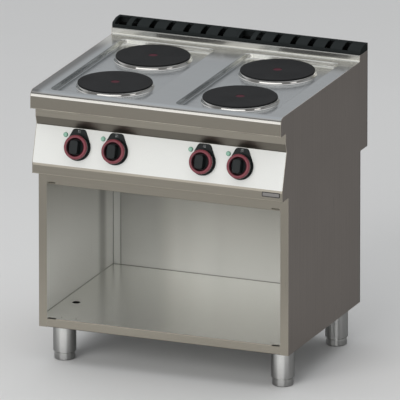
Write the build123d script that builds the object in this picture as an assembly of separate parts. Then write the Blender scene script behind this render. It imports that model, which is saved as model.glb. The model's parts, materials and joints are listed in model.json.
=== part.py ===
from build123d import *
import math
import os

# All sizes are in millimetres. While the pieces are made, X = 0 is the middle of the range,
# Y = 0 is the front of the worktop nose and Z = 0 is the floor. Drops are measured down from the worktop rim.

# Envelope
WIDTH = 800.0
DEPTH = 700.0
RIM_Z = 868.0
SHEET = 1.5
BEND_R = 3.0
FIT = 0.2

# Front outline, from the rim down to the cabinet
NOSE_R = 18.0
NOSE_DROP = 57.0
APRON_Y = 40.0
APRON_DROP = 90.5
THROAT_Y = 47.5
THROAT_DROP = 113.6
PANEL_FOOT_Y = 13.4
PANEL_FOOT_DROP = 227.0
LIP_DROP = 261.0
FLANGE = 26.0
PANEL_FLANGE = 14.0
THROAT_R = 0.8

# Cabinet
CABINET_Y = 62.0
CABINET_BACK = 55.0
CABINET_Z = 117.0
STILE_W = 26.0
RAIL_H = 44.0
SHELF_H = 28.5
HINGE_SLOT_W = 25.0
HINGE_SLOT_H = 4.5
HINGE_SLOT_INSET = 2.5
SHELF_SLOT_DEPTH = 8.0
SHELF_HOLE_D = 24.0
SHELF_HOLE_SIDE = 48.0
SHELF_HOLE_BACK = 175.5
RIVET_HOLE_D = 4.5
RIVET_HOLE_SIDE = (65.0, 111.0)
RIVET_HOLE_BACK = 20.0
CHANNEL_W = 100.0

# Rear duct and upstand
REAR_DROP = 278.0
UPSTAND_BACK = 64.0
UPSTAND_H = 20.5
UPSTAND_LEAN = 1.6
COVE_R = 3.0
LEDGE = 14.0

# Pressed wells
WELL_RIM_SIDE = 50.0
WELL_RIM_FRONT = 28.0
WELL_RIM_BACK = 35.0
WELL_DEPTH = 16.0
WELL_CORNER_R = 20.0
WELL_TOP_R = 3.0
WELL_FLOOR_R = 5.0
WELL_DRAFT = 8.0

# Hot plates: the free length of a well is shared out in front of, between and behind its two rings
PLATE_D = 224.0
FRONT_SHARE = 0.295
BACK_SHARE = 0.088
PLATE_OVERHANG = 10.0
PLATE_RIM_H = 5.0
PLATE_EDGE_R = 2.0
PLATE_BODY_H = 24.0
PLATE_SKIRT_T = 8.0
PLATE_BOSS_D = 36.0
PLATE_HOLLOW_H = 12.0
PLATE_DOT_D = 27.0
PLATE_DOT_DEPTH = 0.6
PLATE_HOLE_PLAY = 2.5
RING_T = 1.0
RING_SEAT_PLAY = 4.0
RING_FLARE = 5.0
STUD_D = 10.0
STUD_LEN = 46.0
CLAMP_W = 30.0
CLAMP_T = 5.0
CLAMP_DROP = 40.0
NUT_AF = 17.0
NUT_H = 8.0

# Vent grille
GRILLE_DEPTH = 60.0
GRILLE_H = 22.5
GRILLE_FACE_H = 14.0
GRILLE_TOP_W = 31.0
GRILLE_ROUND_R = 8.0
GRILLE_WALL = 3.5
GRILLE_BAR_H = 9.0
GRILLE_JOINT = 0.6
GRILLE_SLOT_W = 18.0
GRILLE_FIRST_X = 71.0
GRILLE_LAST_X = 51.0
GRILLE_COUNT = 6
GRILLE_WIDE_X = (8.0, 46.0)
GRILLE_BACK_STRIP = 10.0

# Control panel
PANEL_T = 2.0
PANEL_GAP = 3.2
KNOB_PITCH = 120.0
LAMP_SIDE = 42.7
LAMP_UP = 33.4
LAMP_D = 14.5
LAMP_H = 3.5
LAMP_FLANGE_H = 1.0
LAMP_BODY_D = 10.0
LAMP_BODY_LEN = 24.0
BEZEL_R = 40.5
BEZEL_T = 2.5
BEZEL_TAB_W = 47.0
BEZEL_TAB_UP = 54.6
BEZEL_CORNER_R = 12.0
BEZEL_HOLE_R = 15.0

# Knob: heights are out from the face of the panel
KNOB_CLEAR = 0.6
KNOB_SKIRT_R = 36.0
KNOB_SKIRT_TOP = 18.5
KNOB_DISH_H = 15.0
RING_OUT_R = 36.75
RING_IN_R = 24.0
RING_TOP_H = 26.0
RING_LIP_R = 6.0
GRIP_W = 26.0
GRIP_L = 41.0
GRIP_TOP_H = 38.0
GRIP_END_R = 8.0
GRIP_EDGE_R = 2.0
SHAFT_D = 10.0
SHAFT_TIP_H = 14.0
SHAFT_TAIL = 34.0
SHAFT_PLAY = 0.05
SWITCH_W = 44.0
SWITCH_LEN = 38.0
COLLAR_D = 18.0
COLLAR_H = 1.0

# Legs and feet
LEG_SIDE = 49.6
LEG_FRONT = 80.9
LEG_BACK = 68.7
LEG_D = 69.0
LEG_WALL = 2.0
LEG_BOSS_H = 14.0
FOOT_D = 63.0
FOOT_H = 26.0
FOOT_CHAMFER = 3.0
FOOT_NECK_D = 55.0
FOOT_NECK_H = 3.0
FOOT_STEM_D = 20.0
FOOT_STEM_LEN = 70.0
FOOT_GAP = 0.3

# Supply entry
GLAND_SIDE = 150.0
GLAND_BORE_D = 17.0
GLAND_BODY_D = 25.0
GLAND_NUT_AF = 32.0
GLAND_NUT_H = 8.0
GLAND_DOME_D = 27.0
GLAND_DOME_H = 16.0
GLAND_TOP_H = 12.0
BLOCK_GAP = 100.0
BLOCK_SIZE = (76.0, 26.0, 30.0)
BLOCK_WAYS = 5
BLOCK_WAY_D = 6.0

# Derived places
HALF_IN = WIDTH / 2 - SHEET
LIP_Z = RIM_Z - LIP_DROP
RAIL_Z = LIP_Z - RAIL_H
SHELF_Z = CABINET_Z + SHELF_H
REAR_Z = RIM_Z - REAR_DROP
LEDGE_Z = RIM_Z + UPSTAND_H
WELL_Z = RIM_Z - WELL_DEPTH
UPSTAND_Y = DEPTH - UPSTAND_BACK
UPSTAND_FOOT_Y = UPSTAND_Y - UPSTAND_LEAN
LEAN = math.atan2(UPSTAND_LEAN, UPSTAND_H)
COVE_RUN = COVE_R * math.tan(math.pi / 4 - LEAN / 2)
CABINET_BACK_Y = DEPTH - CABINET_BACK
CABINET_SKIN_Y = CABINET_BACK_Y - SHEET
REAR_SKIN_Y = DEPTH - SHEET
DUCT_MID_Y = (CABINET_BACK_Y + DEPTH) / 2
GRILLE_Y = DEPTH - GRILLE_DEPTH
GRILLE_PITCH = (WIDTH / 2 - GRILLE_FIRST_X - GRILLE_LAST_X) / (GRILLE_COUNT - 1)
GLAND_X = WIDTH / 2 - GLAND_SIDE
BLOCK_X = GLAND_X - BLOCK_GAP
PLATE_BODY_D = PLATE_D - 2 * PLATE_OVERHANG
PLATE_HOLE_D = PLATE_BODY_D + 2 * PLATE_HOLE_PLAY
RING_SEAT_D = PLATE_BODY_D + 2 * RING_SEAT_PLAY
RING_FOOT_D = PLATE_D + 2 * RING_FLARE
WELL_W = WIDTH / 2 - 2 * WELL_RIM_SIDE
WELL_FRONT_Y = WELL_RIM_FRONT
WELL_BACK_Y = UPSTAND_Y - WELL_RIM_BACK
WELL_LEN = WELL_BACK_Y - WELL_FRONT_Y
WELL_SLACK = WELL_LEN - 2 * RING_FOOT_D
WELL_SLOPE = math.radians(WELL_DRAFT)
WELL_RUN = WELL_DEPTH * math.tan(WELL_SLOPE)
PLATE_ROW_Y = (
    WELL_FRONT_Y + WELL_SLACK * FRONT_SHARE + RING_FOOT_D / 2,
    WELL_BACK_Y - WELL_SLACK * BACK_SHARE - RING_FOOT_D / 2,
)
LEG_ROW_Y = (CABINET_Y + LEG_FRONT, CABINET_BACK_Y - LEG_BACK)
TILT = math.atan2(THROAT_Y - PANEL_FOOT_Y, PANEL_FOOT_DROP - THROAT_DROP)
PANEL_LEN = math.hypot(THROAT_Y - PANEL_FOOT_Y, PANEL_FOOT_DROP - THROAT_DROP)
PANEL_UP = (math.sin(TILT), math.cos(TILT))
PANEL_IN = (math.cos(TILT), -math.sin(TILT))
PANEL = Plane(
    origin=(0, (THROAT_Y + PANEL_FOOT_Y) / 2, RIM_Z - (THROAT_DROP + PANEL_FOOT_DROP) / 2),
    x_dir=(1, 0, 0),
    z_dir=(0, -math.cos(TILT), math.sin(TILT)),
)
COLUMN_X = {"left": -WIDTH / 4, "right": WIDTH / 4}
ROW_Y = dict(zip(("front", "rear"), PLATE_ROW_Y))
LEG_Y = dict(zip(("front", "rear"), LEG_ROW_Y))
KNOB_X = [column + side * KNOB_PITCH / 2 for column in COLUMN_X.values() for side in (-1, 1)]


def block(x0, x1, y0, y1, z0, z1):
    """Box between two corners."""
    return Pos((x0 + x1) / 2, (y0 + y1) / 2, (z0 + z1) / 2) * Box(abs(x1 - x0), abs(y1 - y0), abs(z1 - z0))


def rod(radius, low, high):
    """Cylinder on the Z axis between two heights."""
    return Pos(0, 0, (low + high) / 2) * Cylinder(radius, high - low)


def hexagon(across, low, high):
    """Hexagonal prism on the Z axis between two heights."""
    return Pos(0, 0, low) * extrude(RegularPolygon(across / 2, 6, major_radius=False), high - low)


def step(point, direction, length):
    return (point[0] + direction[0] * length, point[1] + direction[1] * length)


def crossing(p, u, q, v):
    """Point where the line p + a u meets the line q + b v."""
    det = u[1] * v[0] - u[0] * v[1]
    a = ((q[1] - p[1]) * v[0] - (q[0] - p[0]) * v[1]) / det
    return step(p, u, a)


def folded(points, radii, side, half, plane=Plane.YZ):
    """Sheet bent along an outer line and run both ways from the plane by half."""
    with BuildSketch(plane) as section:
        with BuildLine():
            FilletPolyline(*points, radius=radii)
            offset(amount=SHEET, side=side)
        make_face()
    return extrude(section.sketch, half, both=True)


def turned(points):
    """Solid of revolution from (radius, height) points about the Z axis."""
    return revolve(Plane.XZ * make_face(Polyline(*points, close=True)), Axis.Z)


def side_outline():
    """Outline of the full-height side sheet, in Y and Z."""
    cove_top = (UPSTAND_FOOT_Y + COVE_RUN * math.sin(LEAN), RIM_Z + COVE_RUN * math.cos(LEAN))
    cove_foot = (UPSTAND_FOOT_Y - COVE_RUN, RIM_Z)
    with BuildSketch(Plane.YZ) as outline:
        with BuildLine():
            Polyline(
                (0, RIM_Z - NOSE_R),
                (0, RIM_Z - NOSE_DROP),
                (APRON_Y, RIM_Z - NOSE_DROP),
                (APRON_Y, RIM_Z - APRON_DROP),
                (THROAT_Y, RIM_Z - THROAT_DROP),
                (PANEL_FOOT_Y, RIM_Z - PANEL_FOOT_DROP),
                (PANEL_FOOT_Y, LIP_Z),
                (CABINET_Y, LIP_Z),
                (CABINET_Y, CABINET_Z),
                (CABINET_SKIN_Y, CABINET_Z),
                (CABINET_SKIN_Y, REAR_Z),
                (DEPTH, REAR_Z),
                (DEPTH, LEDGE_Z),
                (UPSTAND_Y, LEDGE_Z),
                cove_top,
            )
            RadiusArc(cove_top, cove_foot, COVE_R)
            Line(cove_foot, (NOSE_R, RIM_Z))
            RadiusArc((NOSE_R, RIM_Z), (0, RIM_Z - NOSE_R), -NOSE_R)
        make_face()
    return outline.sketch


def make_side_panel():
    """Right side sheet with its stile, cabinet back fold and duct back fold."""
    outer = WIDTH / 2
    sheet = Pos(HALF_IN, 0, 0) * extrude(side_outline(), SHEET)
    folds = {
        CABINET_Y: (CABINET_Y + SHEET, CABINET_Z, LIP_Z),
        CABINET_SKIN_Y: (CABINET_SKIN_Y - SHEET, CABINET_Z, REAR_Z),
        DEPTH: (REAR_SKIN_Y, REAR_Z, LEDGE_Z),
    }
    for face_y, (inner_y, low, high) in folds.items():
        sheet += block(outer - STILE_W, outer, face_y, inner_y, low, high)
    for face_y in folds:
        corner = sheet.edges().filter_by(Axis.Z).filter_by(
            lambda e: abs(e.center().X - outer) < FIT and abs(e.center().Y - face_y) < FIT
        )
        sheet = fillet(corner, BEND_R - SHEET)
    return sheet


def well_outline(grow):
    """Rounded rectangle of a well's mouth, grown outwards."""
    return RectangleRounded(WELL_W + 2 * grow, WELL_LEN + 2 * grow, WELL_CORNER_R + grow)


def well_block(inset):
    """Solid under one face of the pressed well, at its centre; inset is how far below the outer face."""
    low = WELL_Z - 4 * SHEET
    top = RIM_Z - inset
    floor = WELL_Z - inset
    solid = Pos(0, 0, low) * extrude(well_outline(WELL_TOP_R + SHEET), top - low)
    grow = inset / math.cos(WELL_SLOPE) - (WELL_DEPTH + inset) * math.tan(WELL_SLOPE)
    hollow = extrude(well_outline(grow), RIM_Z - floor, taper=-WELL_DRAFT)
    solid -= Pos(0, 0, floor) * fillet(hollow.edges().group_by(Axis.Z)[0], WELL_FLOOR_R + inset)
    brim = solid.faces().sort_by(Axis.Z)[-1].inner_wires()[0].edges()
    return fillet(brim, WELL_TOP_R - inset)


def make_worktop():
    """Pressed sheet: nose, rim, two wells with plate holes, upstand and grille ledge."""
    skin = folded(
        [
            (APRON_Y + FLANGE, RIM_Z - NOSE_DROP),
            (0, RIM_Z - NOSE_DROP),
            (0, RIM_Z),
            (UPSTAND_FOOT_Y, RIM_Z),
            (UPSTAND_Y, LEDGE_Z),
            (UPSTAND_Y + LEDGE, LEDGE_Z),
        ],
        (BEND_R, NOSE_R, COVE_R, BEND_R),
        Side.RIGHT,
        HALF_IN,
    )
    middle = (WELL_BACK_Y + WELL_FRONT_Y) / 2
    footprint = extrude(well_outline(WELL_TOP_R + SHEET), 2 * SHEET)
    pressing = well_block(0) - well_block(SHEET)
    for column in COLUMN_X.values():
        skin -= Pos(column, middle, RIM_Z - SHEET) * footprint
        skin += Pos(column, middle, 0) * pressing
        for row in ROW_Y.values():
            skin -= Pos(column, row, 0) * rod(PLATE_HOLE_D / 2, WELL_Z - 2 * SHEET, RIM_Z)
    return skin


def make_front_apron():
    """Folded sheet from under the nose to behind the top edge of the control panel."""
    apron_foot = (APRON_Y, RIM_Z - APRON_DROP)
    slant = (THROAT_Y - APRON_Y, APRON_DROP - THROAT_DROP)
    panel_back = step((THROAT_Y, RIM_Z - THROAT_DROP), PANEL_IN, PANEL_T)
    throat = crossing(apron_foot, slant, panel_back, PANEL_UP)
    return folded(
        [
            (APRON_Y + FLANGE, RIM_Z - NOSE_DROP),
            (APRON_Y, RIM_Z - NOSE_DROP),
            apron_foot,
            throat,
            step(throat, PANEL_UP, -PANEL_FLANGE),
        ],
        (BEND_R, BEND_R, THROAT_R),
        Side.LEFT,
        HALF_IN,
    )


def make_panel_lip():
    """Folded lip: a flange behind the panel, the vertical face and the return to the cabinet."""
    panel_back = step((PANEL_FOOT_Y, RIM_Z - PANEL_FOOT_DROP), PANEL_IN, PANEL_T)
    knee = crossing((PANEL_FOOT_Y, LIP_Z), (0, 1), panel_back, PANEL_UP)
    return folded(
        [
            step(knee, PANEL_UP, PANEL_FLANGE),
            knee,
            (PANEL_FOOT_Y, LIP_Z),
            (CABINET_Y + FLANGE, LIP_Z),
        ],
        BEND_R,
        Side.LEFT,
        HALF_IN,
    )


def make_control_panel():
    """Sloping plate with a hole for each switch collar and each lamp."""
    plate = Pos(0, -PANEL_GAP / 2, -PANEL_T / 2) * Box(2 * HALF_IN, PANEL_LEN - PANEL_GAP, PANEL_T)
    for x in KNOB_X:
        plate -= Pos(x, 0, 0) * rod(COLLAR_D / 2 + FIT, -2 * PANEL_T, PANEL_T)
        plate -= Pos(x - LAMP_SIDE, LAMP_UP, 0) * rod(LAMP_BODY_D / 2 + FIT, -2 * PANEL_T, PANEL_T)
    return PANEL * plate


def make_top_rail():
    """Channel over the cabinet opening, with a hinge slot near each end."""
    rail = folded(
        [
            (CABINET_Y + FLANGE, LIP_Z),
            (CABINET_Y, LIP_Z),
            (CABINET_Y, RAIL_Z),
            (CABINET_Y + FLANGE, RAIL_Z),
        ],
        BEND_R,
        Side.LEFT,
        WIDTH / 2 - STILE_W,
    )
    low = RAIL_Z + BEND_R
    return rail - hinge_slots(2 * SHEET, low, low + HINGE_SLOT_H)


def hinge_slots(depth, low, high):
    """Pair of slots into the cabinet's front face."""
    outer = WIDTH / 2 - STILE_W - HINGE_SLOT_INSET
    inner = outer - HINGE_SLOT_W
    cut = block(inner, outer, CABINET_Y - SHEET, CABINET_Y + depth, low, high)
    return cut + mirror(cut, Plane.YZ)


def make_bottom_shelf():
    """Shelf with a front lip between the stiles and a floor between the side sheets."""
    back = CABINET_SKIN_Y - SHEET
    shelf = folded(
        [
            (CABINET_Y + FLANGE, CABINET_Z),
            (CABINET_Y, CABINET_Z),
            (CABINET_Y, SHELF_Z),
            (back, SHELF_Z),
        ],
        BEND_R,
        Side.RIGHT,
        WIDTH / 2 - STILE_W,
    )
    shelf += block(-HALF_IN, HALF_IN, CABINET_Y + SHEET + FIT, back, SHELF_Z - SHEET, SHELF_Z)
    shelf -= hinge_slots(SHELF_SLOT_DEPTH, SHELF_Z - BEND_R, SHELF_Z + SHEET)
    for side in (-1, 1):
        spots = [(SHELF_HOLE_SIDE, SHELF_HOLE_BACK, SHELF_HOLE_D)]
        spots += [(inset, RIVET_HOLE_BACK, RIVET_HOLE_D) for inset in RIVET_HOLE_SIDE]
        for inset, behind, diameter in spots:
            drill = rod(diameter / 2, SHELF_Z - 2 * SHEET, SHELF_Z + SHEET)
            shelf -= Pos(side * (WIDTH / 2 - inset), CABINET_Y + behind, 0) * drill
    return shelf


def make_base_channel():
    """Right channel under the shelf that carries two legs."""
    front = CABINET_Y + FLANGE
    back = CABINET_SKIN_Y - SHEET
    high = SHELF_Z - SHEET
    half = (back - front) / 2
    inner = HALF_IN - CHANNEL_W
    channel = folded(
        [(inner, high), (inner, CABINET_Z), (HALF_IN, CABINET_Z), (HALF_IN, high)],
        BEND_R,
        Side.LEFT,
        half,
        Plane.XZ,
    )
    return Pos(0, front + half, 0) * channel


def make_rear_cover():
    """Floor and back of the rear duct, with the grille ledge and the gland hole."""
    cover = folded(
        [
            (CABINET_BACK_Y, REAR_Z),
            (REAR_SKIN_Y, REAR_Z),
            (REAR_SKIN_Y, LEDGE_Z),
            (REAR_SKIN_Y - LEDGE, LEDGE_Z),
        ],
        BEND_R,
        Side.LEFT,
        HALF_IN,
    )
    return cover - Pos(GLAND_X, DUCT_MID_Y, REAR_Z) * rod(GLAND_BODY_D / 2 + FIT, -SHEET, 2 * SHEET)


def make_vent_grille():
    """One half of the vent cover: a hollow hood with slots over its face and top."""
    length = WIDTH / 2 - GRILLE_JOINT
    with BuildSketch(Plane.YZ) as hood:
        with BuildLine():
            FilletPolyline(
                (DEPTH, 0),
                (GRILLE_Y, 0),
                (GRILLE_Y, GRILLE_FACE_H),
                (DEPTH - GRILLE_TOP_W, GRILLE_H),
                (DEPTH, GRILLE_H),
                radius=(GRILLE_WALL / 2, GRILLE_ROUND_R, GRILLE_ROUND_R),
            )
            Line((DEPTH, GRILLE_H), (DEPTH, 0))
        make_face()
    shell = extrude(hood.sketch, length)
    core = extrude(offset(hood.sketch, -GRILLE_WALL), length - 2 * GRILLE_WALL)
    shell -= Pos(GRILLE_WALL, 0, 0) * core
    shell -= Pos(GRILLE_WALL, 0, -GRILLE_WALL) * core
    slots = [(GRILLE_FIRST_X + i * GRILLE_PITCH, GRILLE_SLOT_W) for i in range(GRILLE_COUNT)]
    slots.append((sum(GRILLE_WIDE_X) / 2, GRILLE_WIDE_X[1] - GRILLE_WIDE_X[0]))
    for x, width in slots:
        shell -= block(
            x - width / 2, x + width / 2,
            GRILLE_Y - GRILLE_WALL, DEPTH - GRILLE_BACK_STRIP,
            GRILLE_BAR_H, GRILLE_H + GRILLE_WALL,
        )
    return Pos(0, 0, LEDGE_Z) * shell


def make_hot_plate():
    """Cast plate with a shallow centre dot, a hollow back and its clamping stud; the top is at height 0."""
    rim = PLATE_D / 2
    plate = turned(
        [
            (0, -PLATE_DOT_DEPTH),
            (PLATE_DOT_D / 2, -PLATE_DOT_DEPTH),
            (PLATE_DOT_D / 2, 0),
            (rim, 0),
            (rim, -PLATE_RIM_H),
            (PLATE_BODY_D / 2, -PLATE_RIM_H),
            (PLATE_BODY_D / 2, -PLATE_BODY_H),
            (PLATE_BODY_D / 2 - PLATE_SKIRT_T, -PLATE_BODY_H),
            (PLATE_BODY_D / 2 - PLATE_SKIRT_T, PLATE_HOLLOW_H - PLATE_BODY_H),
            (PLATE_BOSS_D / 2, PLATE_HOLLOW_H - PLATE_BODY_H),
            (PLATE_BOSS_D / 2, -PLATE_BODY_H),
            (STUD_D / 2, -PLATE_BODY_H),
            (STUD_D / 2, -STUD_LEN),
            (0, -STUD_LEN),
        ]
    )
    brim = plate.edges().filter_by(GeomType.CIRCLE).filter_by(
        lambda e: abs(e.radius - rim) < FIT and abs(e.center().Z) < FIT
    )
    return fillet(brim, PLATE_EDGE_R)


def make_spill_ring():
    """Thin bright ring: a seat under the plate's rim and a flared skirt down to the well floor."""
    seat = RING_SEAT_D / 2
    top = -PLATE_RIM_H
    foot = RING_FOOT_D / 2
    shoulder = (PLATE_D / 2 + foot) / 2
    with BuildSketch(Plane.XZ) as section:
        with BuildLine():
            FilletPolyline(
                (seat, top),
                (PLATE_D / 2, top),
                (shoulder, -WELL_DEPTH + RING_T),
                (foot, -WELL_DEPTH + RING_T),
                radius=RING_T * 1.5,
            )
            offset(amount=RING_T, side=Side.RIGHT)
        make_face()
    return revolve(section.sketch, Axis.Z)


def make_plate_clamp(column):
    """Bar under one column of plates, with legs against the well floor and a nut on each stud."""
    low = RIM_Z - CLAMP_DROP
    under = WELL_Z - SHEET
    front = WELL_FRONT_Y + WELL_RUN + WELL_FLOOR_R + SHEET
    back = WELL_BACK_Y - WELL_RUN - WELL_FLOOR_R - SHEET
    half = CLAMP_W / 2
    clamp = block(-half, half, front, back, low, low + CLAMP_T)
    middle = sum(PLATE_ROW_Y) / 2 - CLAMP_T / 2
    for y in (front, middle, back - CLAMP_T):
        clamp += block(-half, half, y, y + CLAMP_T, low, under)
    for y in PLATE_ROW_Y:
        clamp += Pos(0, y, low) * hexagon(NUT_AF, -NUT_H, 0)
        clamp -= Pos(0, y, low) * rod(STUD_D / 2 + FIT, -2 * NUT_H, 2 * CLAMP_T)
    return Pos(column, 0, 0) * clamp


def make_bezel():
    """Teardrop plate behind a knob, with an index tab above."""
    with BuildSketch() as outline:
        Circle(BEZEL_R)
        aside = BEZEL_TAB_W / 2 - BEZEL_CORNER_R
        up = BEZEL_TAB_UP - BEZEL_CORNER_R
        with Locations((-aside, up), (aside, up)):
            Circle(BEZEL_CORNER_R)
        make_hull()
        Circle(BEZEL_HOLE_R, mode=Mode.SUBTRACT)
    plate = extrude(outline.sketch, BEZEL_T)
    return chamfer(plate.faces().sort_by(Axis.Z)[-1].outer_wire().edges(), BEZEL_T / 3)


def make_knob():
    """Black skirt with a sunk dish, and a grip bar with a blind bore for the shaft."""
    base = BEZEL_T + KNOB_CLEAR
    knob = rod(KNOB_SKIRT_R, base, KNOB_SKIRT_TOP) - rod(RING_IN_R, KNOB_DISH_H, KNOB_SKIRT_TOP)
    grip = extrude(RectangleRounded(GRIP_W, GRIP_L, GRIP_END_R), GRIP_TOP_H - KNOB_DISH_H)
    grip = fillet(grip.edges().group_by(Axis.Z)[-1], GRIP_EDGE_R)
    knob += Pos(0, 0, KNOB_DISH_H) * grip
    return knob - rod(SHAFT_D / 2 + SHAFT_PLAY, base, SHAFT_TIP_H)


def make_knob_ring():
    """Red ring with a rounded top, on the knob's skirt."""
    ring = rod(RING_OUT_R, KNOB_SKIRT_TOP, RING_TOP_H) - rod(RING_IN_R, KNOB_SKIRT_TOP, RING_TOP_H)
    rim = ring.edges().filter_by(GeomType.CIRCLE).filter_by(lambda e: abs(e.center().Z - RING_TOP_H) < FIT)
    return fillet(rim, RING_LIP_R)


def make_cam_switch():
    """Switch block behind the panel with a collar through the panel and a bore for the shaft."""
    body = Pos(0, 0, -PANEL_T - SWITCH_LEN / 2) * Box(SWITCH_W, SWITCH_W, SWITCH_LEN)
    body = chamfer(body.edges().filter_by(Axis.Z), SWITCH_W / 10)
    body += rod(COLLAR_D / 2, -PANEL_T, COLLAR_H)
    return body - rod(SHAFT_D / 2 + SHAFT_PLAY, -SHAFT_TAIL - FIT, COLLAR_H)


def make_pilot_lamp():
    """Domed lens with a thin flange on the panel and a barrel behind it."""
    lamp = rod(LAMP_D / 2, 0, LAMP_FLANGE_H + LAMP_H)
    lamp = fillet(lamp.edges().group_by(Axis.Z)[-1], LAMP_H - FIT)
    return lamp + rod(LAMP_BODY_D / 2, -LAMP_BODY_LEN, 0)


def make_leg_tube():
    """Round leg with a closed top and a bored boss in its foot end."""
    tube = rod(LEG_D / 2, FOOT_H, CABINET_Z)
    tube -= rod(LEG_D / 2 - LEG_WALL, FOOT_H + LEG_BOSS_H, CABINET_Z - LEG_WALL)
    return tube - rod(FOOT_STEM_D / 2 + SHAFT_PLAY, FOOT_H, FOOT_H + LEG_BOSS_H)


def make_levelling_foot():
    """Foot with a chamfered base, a narrow neck and the stem that screws into the leg."""
    top = FOOT_H - FOOT_GAP
    foot = rod(FOOT_D / 2, 0, top - FOOT_NECK_H)
    foot = chamfer(foot.edges().group_by(Axis.Z)[0], FOOT_CHAMFER)
    foot += rod(FOOT_NECK_D / 2, top - FOOT_NECK_H, top)
    return foot + rod(FOOT_STEM_D / 2, top, top + FOOT_STEM_LEN)


def make_cable_gland():
    """Gland through the duct floor: clamping dome below, thread and lock nut above."""
    gland = rod(GLAND_BODY_D / 2, 0, GLAND_TOP_H)
    gland += hexagon(GLAND_NUT_AF, -GLAND_NUT_H, 0)
    gland += rod(GLAND_DOME_D / 2, -GLAND_NUT_H - GLAND_DOME_H, -GLAND_NUT_H)
    gland += hexagon(GLAND_NUT_AF, SHEET, SHEET + GLAND_NUT_H)
    bottom = gland.edges().group_by(Axis.Z)[0]
    gland = fillet(bottom, (GLAND_DOME_D - GLAND_BORE_D) / 4)
    gland -= rod(GLAND_BORE_D / 2, -GLAND_NUT_H - GLAND_DOME_H, GLAND_TOP_H)
    return Pos(GLAND_X, DUCT_MID_Y, REAR_Z) * gland


def make_terminal_block():
    """Row of cable ways on the duct floor."""
    length, deep, high = BLOCK_SIZE
    body = Pos(0, 0, high / 2) * Box(length, deep, high)
    for i in range(BLOCK_WAYS):
        x = (i - (BLOCK_WAYS - 1) / 2) * length / BLOCK_WAYS
        body -= Pos(x, 0, high / 2) * Rot(90, 0, 0) * Cylinder(BLOCK_WAY_D / 2, 2 * deep)
    return Pos(BLOCK_X, DUCT_MID_Y, REAR_Z + SHEET) * body


def collect():
    """Every node of the range, by name."""
    side = make_side_panel()
    channel = make_base_channel()
    grille = make_vent_grille()
    nodes = {
        "side_panel_right": side,
        "side_panel_left": mirror(side, Plane.YZ),
        "worktop": make_worktop(),
        "front_apron": make_front_apron(),
        "control_panel": make_control_panel(),
        "panel_lip": make_panel_lip(),
        "top_rail": make_top_rail(),
        "bottom_shelf": make_bottom_shelf(),
        "cabinet_ceiling": block(
            -HALF_IN, HALF_IN, CABINET_Y + FLANGE, CABINET_BACK_Y, LIP_Z, LIP_Z + SHEET
        ),
        "back_panel": block(
            -HALF_IN, HALF_IN, CABINET_SKIN_Y, CABINET_BACK_Y, CABINET_Z, LIP_Z
        ),
        "rear_cover": make_rear_cover(),
        "base_channel_right": channel,
        "base_channel_left": mirror(channel, Plane.YZ),
        "vent_grille_left": Pos(GRILLE_JOINT / 2 - WIDTH / 2, 0, 0) * grille,
        "vent_grille_right": Pos(GRILLE_JOINT / 2, 0, 0) * grille,
        "cable_gland": make_cable_gland(),
        "terminal_block": make_terminal_block(),
    }
    plate, ring = make_hot_plate(), make_spill_ring()
    for column, x in COLUMN_X.items():
        nodes[f"plate_clamp_{column}"] = make_plate_clamp(x)
        for row, y in ROW_Y.items():
            nodes[f"hot_plate_{row}_{column}"] = Pos(x, y, RIM_Z) * plate
            nodes[f"spill_ring_{row}_{column}"] = Pos(x, y, RIM_Z) * ring
    leg, foot = make_leg_tube(), make_levelling_foot()
    for column, sign in (("left", -1), ("right", 1)):
        for row, y in LEG_Y.items():
            place = Pos(sign * (WIDTH / 2 - LEG_SIDE), y, 0)
            nodes[f"leg_tube_{row}_{column}"] = place * leg
            nodes[f"levelling_foot_{row}_{column}"] = place * foot
    makers = {
        "knob_bezel": make_bezel(),
        "knob": make_knob(),
        "knob_ring": make_knob_ring(),
        "switch_shaft": rod(SHAFT_D / 2, -SHAFT_TAIL, SHAFT_TIP_H),
        "cam_switch": make_cam_switch(),
    }
    lamp = make_pilot_lamp()
    for number, x in enumerate(KNOB_X, 1):
        for name, shape in makers.items():
            nodes[f"{name}_{number}"] = PANEL * Pos(x, 0, 0) * shape
        nodes[f"pilot_lamp_{number}"] = PANEL * Pos(x - LAMP_SIDE, LAMP_UP, 0) * lamp
    return nodes


def main():
    nodes = collect()
    front = min(shape.bounding_box().min.Y for shape in nodes.values())
    centre = Pos(0, -(front + DEPTH) / 2, 0)
    os.makedirs("parts", exist_ok=True)
    for name, shape in nodes.items():
        export_step(centre * shape, f"parts/{name}.step")


main()
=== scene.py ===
import json
import math
import bpy
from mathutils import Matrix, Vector


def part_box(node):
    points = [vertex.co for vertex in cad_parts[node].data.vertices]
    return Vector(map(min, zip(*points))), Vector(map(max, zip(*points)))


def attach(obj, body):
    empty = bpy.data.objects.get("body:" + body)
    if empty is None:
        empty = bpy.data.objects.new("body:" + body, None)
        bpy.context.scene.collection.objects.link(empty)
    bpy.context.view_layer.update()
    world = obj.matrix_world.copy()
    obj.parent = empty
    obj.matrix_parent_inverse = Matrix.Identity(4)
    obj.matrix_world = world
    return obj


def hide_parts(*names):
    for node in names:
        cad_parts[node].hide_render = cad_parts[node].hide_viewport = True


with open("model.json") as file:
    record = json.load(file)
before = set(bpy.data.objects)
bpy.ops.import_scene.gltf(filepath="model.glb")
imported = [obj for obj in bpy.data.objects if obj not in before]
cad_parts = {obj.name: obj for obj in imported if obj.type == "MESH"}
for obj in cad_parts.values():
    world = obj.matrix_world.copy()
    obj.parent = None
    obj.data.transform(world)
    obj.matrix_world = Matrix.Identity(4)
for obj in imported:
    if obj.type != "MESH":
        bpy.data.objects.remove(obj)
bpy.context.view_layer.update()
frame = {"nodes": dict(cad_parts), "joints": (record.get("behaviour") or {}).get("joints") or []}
nodes = frame["nodes"]
joints = {joint["name"]: joint for joint in frame["joints"]}

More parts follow.
